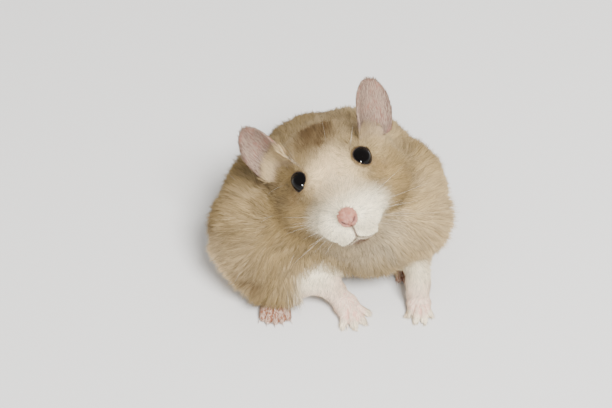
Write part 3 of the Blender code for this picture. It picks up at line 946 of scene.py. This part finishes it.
# A lock is one unit long and high, and a strand is one unit wide; the skin's sizes scale it.
lockLook = {
    "kinds": 6, "strands": 7, "spread": 3.0, "clump": 0.5, "bow": 1.9, "sunk": 0.06, "seed": 11,
    "strand": ((0.0, 0.5), (0.48, 0.5), (1.0, 0.0)),  # half width at each share of the length
    "tips": (-0.8, 0.8), "roots": (-0.4, 0.4), "starts": (-0.2, 0.2),
    "lengths": (0.7, 1.05), "heights": (0.65, 1.08), "clumps": (0.2, 1.3),
}


# One lock: flat strands, their roots side by side and their tips drawn together.
def lockMesh(number):
    random = np.random.default_rng(lockLook["seed"] + number)
    points, faces, along, shade, uvs = [], [], [], [], []
    count = lockLook["strands"]
    sunk = lockLook["sunk"]
    tipAcross = random.uniform(*lockLook["tips"])
    for strand in range(count):
        evenly = (strand + 0.5) / count * 2 - 1
        rootAcross = lockLook["spread"] * evenly + random.uniform(*lockLook["roots"])
        rootAlong = random.uniform(*lockLook["starts"])
        length = random.uniform(*lockLook["lengths"])
        height = random.uniform(*lockLook["heights"])
        clump = lockLook["clump"] * random.uniform(*lockLook["clumps"])
        tone = random.uniform(0, 1)
        first = len(points)
        for reach, half in lockLook["strand"]:
            x = rootAlong + length * reach
            y = rootAcross + (tipAcross - rootAcross) * clump * reach
            z = height * (1.0 - (1.0 - reach) ** lockLook["bow"]) * (1.0 + sunk) - sunk
            for across in ((-half, half) if half else (0.0,)):
                points.append((x, y + across, z))
                along.append(reach)
                shade.append(tone)
                uvs.append(((strand + across + 0.5) / count, reach))
        faces += [(first, first + 2, first + 3, first + 1), (first + 2, first + 4, first + 3)]
    mesh = bpy.data.meshes.new(f"lock{number}")
    mesh.from_pydata(points, [], faces)
    addNumbers(mesh, "along", np.array(along))
    addNumbers(mesh, "shade", np.array(shade))
    layer = mesh.attributes.new("patch", "FLOAT2", "POINT")
    layer.data.foreach_set("vector", np.array(uvs, np.float32).ravel())
    return mesh


lockSet = bpy.data.collections.new("lockKinds")
for kind in range(lockLook["kinds"]):
    lockSet.objects.link(bpy.data.objects.new(f"lock{kind}", lockMesh(kind)))


# The tree that sets locks on the skin, whose own sizes each lock takes. The skin's thickness is in
# locks to a square millimetre, and Thickness scales it to a square metre.
def coatTree():
    tree = bpy.data.node_groups.new("coat", "GeometryNodeTree")
    for label, kind in (
        ("Geometry", "Geometry"), ("Thickness", "Float"), ("Locks", "Collection"), ("Seed", "Int"),
        ("Tangle", "Float"), ("Patch", "Float"), ("Finish", "Material"),
    ):
        tree.interface.new_socket(label, in_out="INPUT", socket_type="NodeSocket" + kind)
    tree.interface.new_socket("Geometry", in_out="OUTPUT", socket_type="NodeSocketGeometry")

    def node(kind, inputs=None, **settings):
        made = tree.nodes.new(kind)
        for key, value in settings.items():
            setattr(made, key, value)
        for key, value in (inputs or {}).items():
            if hasattr(value, "is_output"):
                tree.links.new(value, made.inputs[key])
            else:
                made.inputs[key].default_value = value
        return made

    def named(name, kind="FLOAT"):
        return node("GeometryNodeInputNamedAttribute", {"Name": name}, data_type=kind).outputs[0]

    def chance(low, high, seed):
        return node("FunctionNodeRandomValue", {2: low, 3: high, "Seed": seed}, data_type="FLOAT").outputs[1]

    def times(first, second):
        return node("ShaderNodeMath", {0: first, 1: second}, operation="MULTIPLY").outputs[0]

    def scaled(vector, amount):
        return node("ShaderNodeVectorMath", {0: vector, "Scale": amount}, operation="SCALE").outputs[0]

    def added(first, second):
        return node("ShaderNodeVectorMath", {0: first, 1: second}, operation="ADD").outputs[0]

    start = node("NodeGroupInput").outputs
    amount = times(start["Thickness"], named("thick"))
    spread = node(
        "GeometryNodeDistributePointsOnFaces",
        {"Mesh": start["Geometry"], "Density": amount, "Seed": start["Seed"]},
    )
    rooted = node(
        "GeometryNodeStoreNamedAttribute",
        {"Geometry": spread.outputs["Points"], "Name": "rootPlace",
         "Value": node("GeometryNodeInputPosition").outputs[0]},
        data_type="FLOAT_VECTOR", domain="POINT",
    )
    shake = node(
        "FunctionNodeRandomValue", {0: (-1, -1, -1), 1: (1, 1, 1), "Seed": 5}, data_type="FLOAT_VECTOR",
    )
    heading = added(named("lie", "FLOAT_VECTOR"), scaled(shake.outputs[0], start["Tangle"]))
    turn = node(
        "FunctionNodeAxesToRotation",
        {"Primary Axis": named("up", "FLOAT_VECTOR"), "Secondary Axis": heading},
        primary_axis="Z", secondary_axis="X",
    )
    size = node(
        "ShaderNodeCombineXYZ",
        {0: times(named("lockLength"), chance(0.72, 1.2, 1)),
         1: times(named("lockWidth"), chance(0.8, 1.25, 2)),
         2: times(named("lockRise"), chance(0.65, 1.2, 3))},
    )
    kinds = node(
        "GeometryNodeCollectionInfo",
        {"Collection": start["Locks"], "Separate Children": True, "Reset Children": True},
    )
    pick = node("FunctionNodeRandomValue", {4: 0, 5: lockLook["kinds"] - 1, "Seed": 8}, data_type="INT")
    placed = node(
        "GeometryNodeInstanceOnPoints",
        {"Points": rooted.outputs[0], "Instance": kinds.outputs[0], "Pick Instance": True,
         "Instance Index": pick.outputs[2], "Rotation": turn.outputs[0], "Scale": size.outputs[0]},
    )
    real = node("GeometryNodeRealizeInstances", {"Geometry": placed.outputs[0]})
    inMap = added(named("rootUV", "FLOAT_VECTOR"), scaled(named("patch", "FLOAT_VECTOR"), start["Patch"]))
    mapped = node(
        "GeometryNodeStoreNamedAttribute",
        {"Geometry": real.outputs[0], "Name": "OFBake", "Value": inMap},
        data_type="FLOAT2", domain="CORNER",
    )
    finished = node("GeometryNodeSetMaterial", {"Geometry": mapped.outputs[0], "Material": start["Finish"]})
    tree.links.new(finished.outputs[0], node("NodeGroupOutput").inputs[0])
    return tree


coatGroup = coatTree()
socketIds = {item.name: item.identifier for item in coatGroup.interface.items_tree if item.in_out == "INPUT"}

# The most triangles of a piece and of all, how much headings vary, a lock's size on the map, and how
# far its shading turns to that of the skin.
coatLook = {"limit": 188000, "total": 1440000, "tangle": 0.24, "patch": 0.003, "calm": 0.75, "seed": 20}


# The mean of a value of the points over each face.
def faceMeans(values):
    totals = readAll(skinMesh.polygons, "loop_total", 1, np.int32)[:, 0]
    corners = readAll(skinMesh.loops, "vertex_index", 1, np.int32)[:, 0]
    owner = np.repeat(np.arange(len(totals)), totals)
    return np.bincount(owner, values[corners], len(totals)) / totals


# Which points of the skin each piece of the coat grows from, divided in millimetres.
def coatPieces():
    x, y, _ = place.T
    small = share["forepaw"] + share["hindfoot"] + share["ear"] > 0.5
    onFace = (onHead > 0.5) & ~small
    onBody = ~small & ~onFace
    front = onBody & (y < -10.0)
    rear = onBody & (y >= -10.0)
    return {
        "coatSmall": small,
        "coatFaceLeft": onFace & (local[:, 0] >= 0),
        "coatFaceRight": onFace & (local[:, 0] < 0),
        "coatChest": front & (x > -4.0),
        "coatShoulder": front & (x <= -4.0),
        "coatLeftSide": rear & (x > 8.0),
        "coatRightSide": rear & (x < -8.0),
        "coatBack": rear & (abs(x) <= 8.0),
    }


def growCoat():
    pieces = coatPieces()
    areas = readAll(skinMesh.polygons, "area", 1)[:, 0] / (mm * mm)
    perLock = lockLook["strands"] * 3  # a strand's quad and tip are three triangles
    made = []
    wanted = {
        name: float(np.sum(areas * faceMeans(lockThick * mask))) * perLock
        for name, mask in pieces.items()
    }
    overall = min(1.0, coatLook["total"] / sum(wanted.values()))
    for number, (name, mask) in enumerate(pieces.items()):
        scale = min(overall, coatLook["limit"] / wanted[name])
        base = skinMesh.copy()
        addNumbers(base, "thick", lockThick * mask)
        owner = linkObject(name, base)
        grow = owner.modifiers.new("Coat", "NODES")
        grow.node_group = coatGroup
        for label, value in (
            ("Thickness", scale / (mm * mm)), ("Locks", lockSet), ("Seed", coatLook["seed"] + number),
            ("Tangle", coatLook["tangle"]), ("Patch", coatLook["patch"]), ("Finish", coatMaterial),
        ):
            grow[socketIds[label]] = value
        mesh = plainMesh(owner)
        owner.modifiers.clear()
        owner.data = mesh
        mesh.name = name
        bpy.data.meshes.remove(base)
        made.append(owner)
        print(name, len(mesh.polygons), "faces", round(scale, 2))
    for lock in list(lockSet.objects):
        bpy.data.objects.remove(lock)
    bpy.data.collections.remove(lockSet)
    return made


floorLook = {"bend": 0.3, "softness": 0.8}


# Hair that would go through the floor lies flat along it instead.
def layOnFloor(mesh):
    points = meshPoints(mesh)
    height = points[:, 2]
    bent = floorLook["bend"] * np.exp((height - floorLook["bend"]) / floorLook["softness"])
    points[:, 2] = np.where(height < floorLook["bend"], bent, height)
    setPoints(mesh, points)


# Shading turned part of the way to that of the skin below, which is what makes fur look soft.
def softenNormals(mesh):
    below = readAll(mesh.attributes["up"].data, "vector", 3)
    mixed = below * coatLook["calm"] + meshNormals(mesh) * (1 - coatLook["calm"])
    mesh.shade_smooth()
    mesh.normals_split_custom_set_from_vertices(unit(mixed))
    for name in ("up", "lie", "lockLength", "lockWidth", "lockRise", "thick", "rootUV", "patch"):
        if name in mesh.attributes:
            mesh.attributes.remove(mesh.attributes[name])


coat = growCoat()
for piece in coat:
    layOnFloor(piece.data)
    softenNormals(piece.data)
print("coat grown")


threadLook = {"sides": 3, "tip": 0.2, "across": (0.13, 0.31, 0.94)}  # across: no thread runs that way


# Tapering threads, one path of points each.
def threadMesh(name, paths, radius):
    points, faces, along = [], [], []
    sides = threadLook["sides"]
    for path in paths:
        path = np.array(path)
        first = len(points)
        heading = unit(np.gradient(path, axis=0))
        aside = unit(np.cross(heading, threadLook["across"]))
        over = np.cross(heading, aside)
        for ring in range(len(path) - 1):
            reach = ring / (len(path) - 1)
            thick = radius * (1 - (1 - threadLook["tip"]) * reach)
            for corner in range(sides):
                turn = corner * 2 * math.pi / sides
                out = aside[ring] * math.cos(turn) + over[ring] * math.sin(turn)
                points.append(path[ring] + out * thick)
                along.append(reach)
        points.append(path[-1])
        along.append(1.0)
        for ring in range(len(path) - 2):
            for corner in range(sides):
                a = first + ring * sides + corner
                b = first + ring * sides + (corner + 1) % sides
                faces.append((a, b, b + sides, a + sides))
        faces.append(tuple(range(first + sides - 1, first - 1, -1)))
        last = len(points) - 1
        for corner in range(sides):
            faces.append((last - sides + corner, last - sides + (corner + 1) % sides, last))
    mesh = bpy.data.meshes.new(name)
    mesh.from_pydata([tuple(point * mm) for point in points], [], faces)
    addNumbers(mesh, "along", np.array(along))
    mesh.shade_smooth()
    return mesh


# Whiskers stand in rows from the nose back, in the head's frame, with a few more over each eye.
whiskerLook = {
    "count": 12, "rows": 4, "length": (8.0, 17.0), "radius": 0.028, "rings": 7, "seed": 4,
    "root": (2.2, -14.9, -2.6), "columnStep": (0.75, 1.15, 0.0), "rowStep": (0.15, 0.0, -0.95),
    "heading": (0.85, -0.30, 0.34), "columnTurn": (0.0, 0.16, 0.0), "rowTurn": (0.0, 0.0, -0.26),
    "scatter": 0.10, "bend": (0.0, 0.42, -0.22), "bends": (0.5, 1.2), "bendShare": 0.6,
    "columnLength": (0.75, 0.12),
}
browLook = {
    "count": 2, "root": (5.2, -5.4, 7.0), "step": (0.0, -0.8, 0.0), "heading": (0.5, -0.1, 0.85),
    "length": 6.0, "bend": (0, 1.6, 0), "rings": 5,
}


# The settings of a look as arrays, on the animal's left or right.
def onSide(look, sign, *keys):
    return [np.array(look[key]) * (sign, 1, 1) for key in keys]


def whiskerPaths():
    random = np.random.default_rng(whiskerLook["seed"])
    shortest, longer = whiskerLook["columnLength"]
    paths = []
    for sign in (1, -1):
        start, columnStep, rowStep, ahead, columnTurn, rowTurn = onSide(
            whiskerLook, sign, "root", "columnStep", "rowStep", "heading", "columnTurn", "rowTurn",
        )
        for number in range(whiskerLook["count"]):
            column, row = divmod(number, whiskerLook["rows"])
            root = start + columnStep * column + rowStep * row
            heading = ahead + columnTurn * column + rowTurn * row
            heading += random.normal(0, whiskerLook["scatter"], 3)
            heading /= np.linalg.norm(heading)
            length = random.uniform(*whiskerLook["length"]) * (shortest + longer * column)
            bend = np.array(whiskerLook["bend"]) * random.uniform(*whiskerLook["bends"])
            path = [
                root + heading * length * reach + bend * length * whiskerLook["bendShare"] * reach * reach
                for reach in np.linspace(0, 1, whiskerLook["rings"])
            ]
            paths.append(fromHead(path))
    for sign in (1, -1):
        start, step, heading, bend = onSide(browLook, sign, "root", "step", "heading", "bend")
        for number in range(browLook["count"]):
            path = [
                start + step * number + heading * browLook["length"] * reach + bend * reach * reach
                for reach in np.linspace(0, 1, browLook["rings"])
            ]
            paths.append(fromHead(path))
    return paths


# Long fine hairs that stand a little out of the coat.
guardLook = {
    "count": 170, "length": (7.0, 11.0), "rise": 2.6, "droop": 1.6, "sway": 1.2, "radius": 0.02,
    "rings": 6, "above": 4.0, "seed": 21,
}


def guardPaths():
    random = np.random.default_rng(guardLook["seed"])
    free = room(np.tile((guardLook["length"][1], 0.0, guardLook["rise"]), (len(place), 1)))
    coated = share["trunk"] + share["hindleg"] + share["neck"] + 0.4 * share["head"] * (local[:, 1] > -4.0)
    coated = coated * (place[:, 2] > guardLook["above"])
    chosen = random.choice(len(place), guardLook["count"], replace=False, p=coated / coated.sum())
    fall = np.array((0.0, 0.0, -guardLook["droop"]))
    paths = []
    for index in chosen:
        length = random.uniform(*guardLook["length"]) * free[index]
        rise = calmUp[index] * guardLook["rise"] * free[index]
        sway = np.cross(calmUp[index], lie[index]) * random.normal(0, guardLook["sway"])
        path = [
            place[index] + lie[index] * length * reach + rise * reach ** 0.7 + (sway + fall) * reach * reach
            for reach in np.linspace(0, 1, guardLook["rings"])
        ]
        paths.append(np.maximum(path, (-farAway, -farAway, floorLook["bend"])))
    return paths


# One claw ahead of each toe's tip, curving from high to low.
clawLook = {"radius": 0.18, "start": 0.3, "length": 0.85, "high": 0.8, "low": 0.14, "curl": 1.8, "rings": 6}


def clawPaths():
    paths = []
    for palm, tips in paws.values():
        for tip in np.array(tips):
            ahead = (tip - palm) / np.linalg.norm(tip - palm)
            path = []
            for reach in np.linspace(0, 1, clawLook["rings"]):
                at = tip + ahead * (clawLook["start"] + clawLook["length"] * reach)
                height = clawLook["high"] + (clawLook["low"] - clawLook["high"]) * reach ** clawLook["curl"]
                path.append((*at, height))
            paths.append(path)
    return paths


def makeWhiskerMaterial():
    paint = Paint("whisker")
    pale = (paint.mark("along") * 3.0 - 0.4).clamped() ** 1.5
    tone = paint.mix(pale, colour(0.05, 0.035, 0.025), colour(0.80, 0.72, 0.58))
    return paint.finish(Base_Color=tone, Roughness=0.4)


def addThreads(name, paths, look, material):
    made = linkObject(name, threadMesh(name, paths, look["radius"]))
    made.data.materials.append(material)
    return made


whiskers = addThreads("whiskers", whiskerPaths(), whiskerLook, makeWhiskerMaterial())
guardHairs = addThreads("guardHairs", guardPaths(), guardLook, makeWhiskerMaterial())
claws = addThreads("claws", clawPaths(), clawLook, makeHornMaterial())
print("whiskers, guard hairs and claws made")


def addEyes():
    material = makeEyeMaterial()
    for name in eyeNodes:
        ball = bmesh.new()
        bmesh.ops.create_uvsphere(ball, u_segments=48, v_segments=28, radius=eyeLook["radius"] * mm)
        turn = Vector(gazeOf(name)).to_track_quat("Z", "Y").to_matrix().to_4x4()
        ball.transform(Matrix.Translation(Vector(eyeCentres[name]) * mm) @ turn)
        mesh = bpy.data.meshes.new(name.replace("_l", "L").replace("_r", "R"))
        ball.to_mesh(mesh)
        ball.free()
        mesh.materials.append(material)
        mesh.shade_smooth()
        eye = linkObject(mesh.name, mesh)
        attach(eye, "root")
        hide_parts(name)


addEyes()
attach(skin, "root")
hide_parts(*fleshNodes)
for piece in coat:
    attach(piece, "root")
for piece, slot in ((whiskers, "pale_fur"), (guardHairs, "pale_fur"), (claws, "paw_fur")):
    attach(piece, "root")
print("pieces set on the body")


# The camera and its aim are in millimetres from the middle of the head, and the lamps in metres.
studio = {
    "floor": colour(0.80, 0.79, 0.77), "floorSize": 3.0,
    "world": colour(1.0, 0.98, 0.95), "worldStrength": 0.75,
    "key": {"at": (0.20, -0.34, 0.62), "size": 0.30, "power": 11.5, "glossy": False},
    "glint": {"at": (0.02, -0.50, 0.10), "size": 0.10, "power": 9.0, "glossy": True},
    "lampAim": (0.0, -0.005, 0.025),
    "camera": (-6.725, -220.878, 253.392), "cameraAim": (-6.725, -8.758, 0.597),
    "lens": 90.27, "sensor": 36.0, "nearest": 0.01,
}


def addFloor():
    work = bmesh.new()
    bmesh.ops.create_grid(work, x_segments=1, y_segments=1, size=studio["floorSize"])
    mesh = bpy.data.meshes.new("floor")
    work.to_mesh(mesh)
    work.free()
    mesh.materials.append(Paint("floor").finish(Base_Color=studio["floor"], Roughness=0.8))
    linkObject("floor", mesh)


def turnTo(owner, start, end):
    toward = Vector(end) - Vector(start)
    owner.rotation_euler = toward.to_track_quat("-Z", "Y").to_euler()


# The key only lights surfaces, and the glint only shines in them.
def addLamp(name):
    look = studio[name]
    lamp = bpy.data.lights.new(name, "AREA")
    lamp.shape = "DISK"
    lamp.size = look["size"]
    lamp.energy = look["power"]
    owner = linkObject(name, lamp)
    owner.location = look["at"]
    owner.visible_glossy = look["glossy"]
    owner.visible_diffuse = not look["glossy"]
    turnTo(owner, look["at"], studio["lampAim"])


def addWorld():
    world = bpy.data.worlds.new("studio")
    world.use_nodes = True
    backdrop = world.node_tree.nodes["Background"]
    backdrop.inputs["Color"].default_value = studio["world"]
    backdrop.inputs["Strength"].default_value = studio["worldStrength"]
    bpy.context.scene.world = world


def addCamera():
    lens = bpy.data.cameras.new("camera")
    lens.lens = studio["lens"]
    lens.sensor_width = studio["sensor"]
    lens.clip_start = studio["nearest"]
    owner = linkObject("camera", lens)
    owner.location = (Vector(studio["camera"]) + Vector(headCentre)) * mm
    turnTo(owner, studio["camera"], studio["cameraAim"])
    bpy.context.scene.camera = owner


addFloor()
addLamp("key")
addLamp("glint")
addWorld()
addCamera()
print("studio set")
